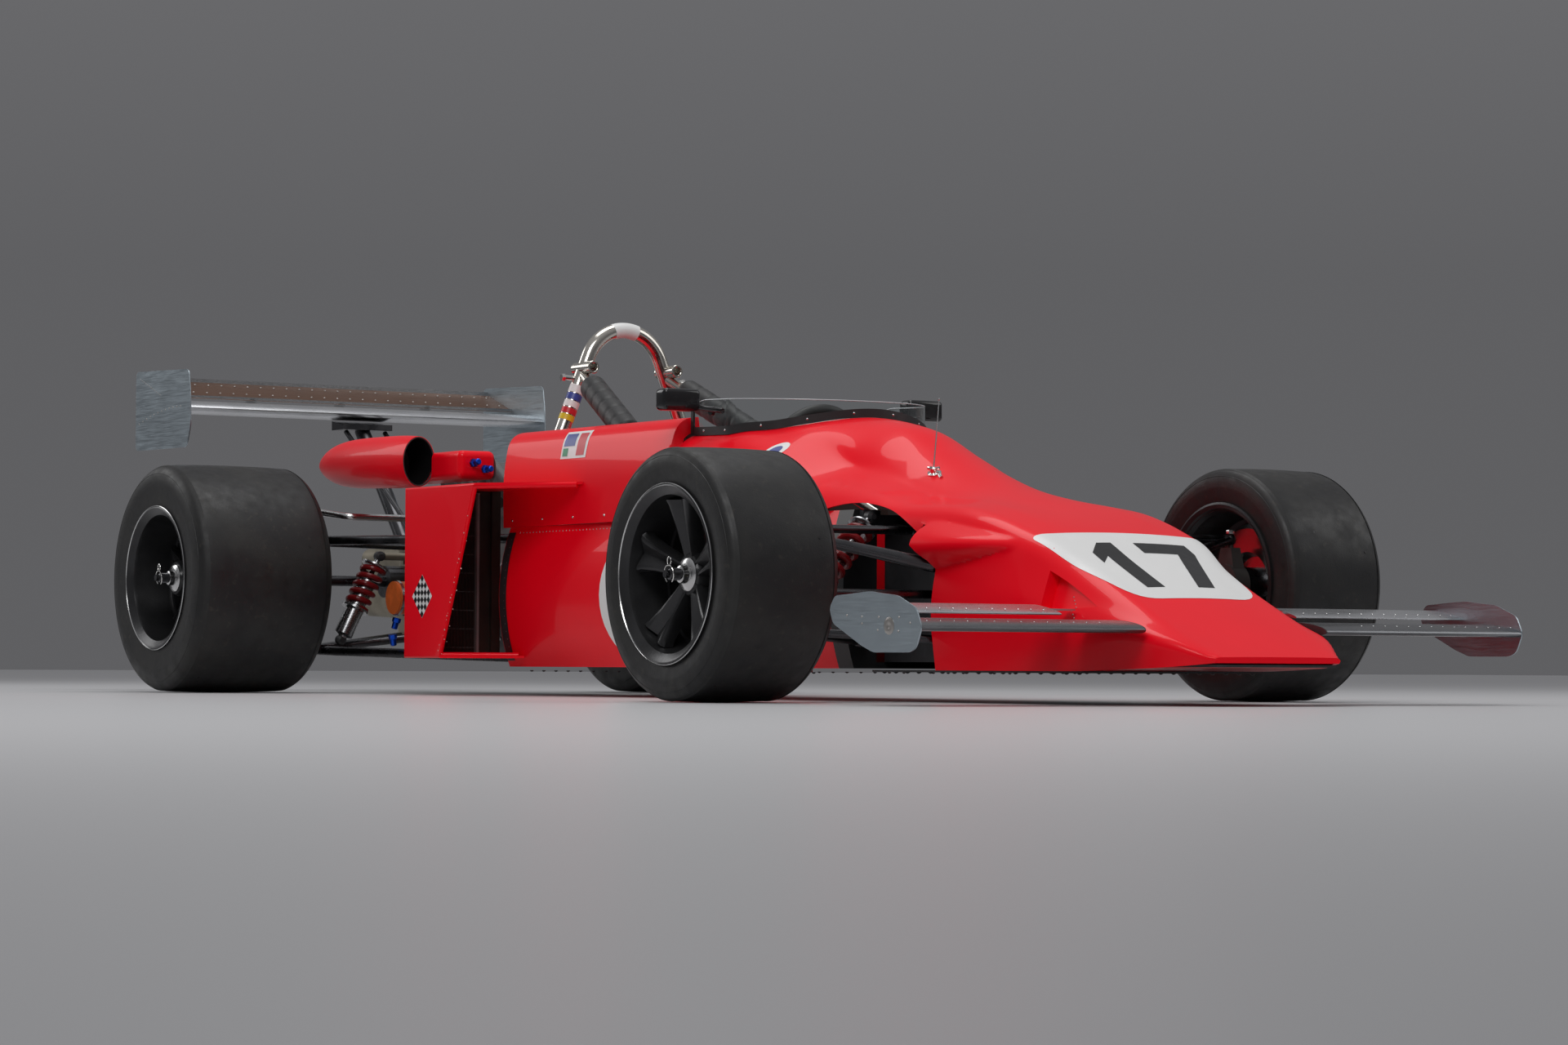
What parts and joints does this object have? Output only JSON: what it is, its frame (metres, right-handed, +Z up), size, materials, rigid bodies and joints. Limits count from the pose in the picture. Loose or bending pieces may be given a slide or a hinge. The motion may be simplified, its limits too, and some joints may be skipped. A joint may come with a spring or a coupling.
{
  "type": "open wheel racing car",
  "caption": "Single-seat open wheel racing car with wedge nose, front and rear wings, side radiators, roll hoop, wide slick tyres and a mid engine.",
  "frame": {"origin": "middle of the car's footprint at floor level", "axes": "+Z up, -Y forward (the way the nose points), +X to the car's left"},
  "size_m": [1.729, 4.271, 0.9249],
  "materials": {
    "red_paint": "gloss scarlet paint",
    "red_tub": "gloss scarlet paint on riveted sheet",
    "clear_screen": "clear perspex",
    "black_trim": "satin",
    "nickel_tube": "polished nickel plate",
    "pad_black": "quilted",
    "seat_black": "matt",
    "dash_black": "satin",
    "mirror_black": "gloss",
    "mast_chrome": "polished",
    "footwell_black": "satin",
    "arm_steel": "dark polished",
    "damper_steel": "satin",
    "wing_alloy": "polished",
    "plate_alloy": "blue grey",
    "radiator_black": "dark fins",
    "engine_alloy": "cast",
    "exhaust_steel": "heat tinted",
    "gearbox_alloy": "cast",
    "upright_alloy": "cast",
    "shaft_steel": "satin",
    "filter_orange": "satin",
    "hose_braid": "braided",
    "wheel_black": "satin",
    "tyre_black": "worn slick",
    "rim_leather": "matt"
  },
  "bodies": {
    "body": {"tub": "red_tub", "bodywork": "red_paint", "windscreen": "clear_screen", "windscreen_trim": "black_trim", "roll_hoop": "nickel_tube", "brace_pads": "pad_black", "dash_panel": "dash_black", "seat": "seat_black", "mirrors": "mirror_black", "mast": "mast_chrome", "front_bulkhead": "footwell_black", "front_wishbones": "arm_steel", "front_dampers": "damper_steel", "front_wings": "wing_alloy", "front_endplates": "plate_alloy", "rear_wing": "wing_alloy", "rear_endplates": "plate_alloy", "wing_post": "nickel_tube", "radiator_pods": "red_paint", "radiators": "radiator_black", "engine": "engine_alloy", "intake_scoop": "red_paint", "exhaust": "exhaust_steel", "gearbox": "gearbox_alloy", "rear_uprights": "upright_alloy", "rear_links": "arm_steel", "rear_antiroll_bar": "shaft_steel", "rear_dampers": "damper_steel", "oil_system": "filter_orange", "engine_hoses": "hose_braid"},
    "steering": {"steering_wheel": "rim_leather", "steering_column": "shaft_steel"},
    "rack": {"rack_bar": "shaft_steel"},
    "knuckle_left": {"knuckle_left": "upright_alloy"},
    "knuckle_right": {"knuckle_right": "upright_alloy"},
    "front_wheel_left": {"tyre_front_left": "tyre_black", "wheel_front_left": "wheel_black"},
    "front_wheel_right": {"tyre_front_right": "tyre_black", "wheel_front_right": "wheel_black"},
    "rear_wheel_left": {"tyre_rear_left": "tyre_black", "wheel_rear_left": "wheel_black", "driveshaft_left": "shaft_steel"},
    "rear_wheel_right": {"tyre_rear_right": "tyre_black", "wheel_rear_right": "wheel_black", "driveshaft_right": "shaft_steel"}
  },
  "joints": [
    {"name": "steer_left", "type": "hinge", "parent": "body", "child": "knuckle_left", "pos_m": [0.6175, -1.2295, 0.259], "axis": [0, 0, 1], "range_deg": [-18, 18]},
    {"name": "steer_right", "type": "hinge", "parent": "body", "child": "knuckle_right", "pos_m": [-0.6175, -1.2295, 0.259], "axis": [0, 0, 1], "range_deg": [-18, 18]},
    {"name": "steering_turn", "type": "hinge", "parent": "body", "child": "steering", "pos_m": [0, -0.4875, 0.548], "axis": [0, 0.9473, 0.3202], "range_deg": [-162, 162]},
    {"name": "rack_slide", "type": "slide", "parent": "body", "child": "rack", "axis": [1, 0, 0], "range_m": [-0.03449, 0.03449]},
    {"name": "front_left_spin", "type": "hinge", "parent": "knuckle_left", "child": "front_wheel_left", "pos_m": [0.7125, -1.2295, 0.259], "axis": [1, 0, 0], "continuous": true},
    {"name": "rear_left_spin", "type": "hinge", "parent": "body", "child": "rear_wheel_left", "pos_m": [0.6775, 1.2705, 0.292], "axis": [1, 0, 0], "continuous": true},
    {"name": "front_right_spin", "type": "hinge", "parent": "knuckle_right", "child": "front_wheel_right", "pos_m": [-0.7125, -1.2295, 0.259], "axis": [1, 0, 0], "continuous": true},
    {"name": "rear_right_spin", "type": "hinge", "parent": "body", "child": "rear_wheel_right", "pos_m": [-0.6775, 1.2705, 0.292], "axis": [1, 0, 0], "continuous": true}
  ],
  "couplings": [
    {"joint": "steer_right", "follows": "steer_left", "ratio": 1},
    {"joint": "steering_turn", "follows": "steer_left", "ratio": 9},
    {"joint": "rack_slide", "follows": "steer_left", "m_per_rad": 0.1082}
  ]
}
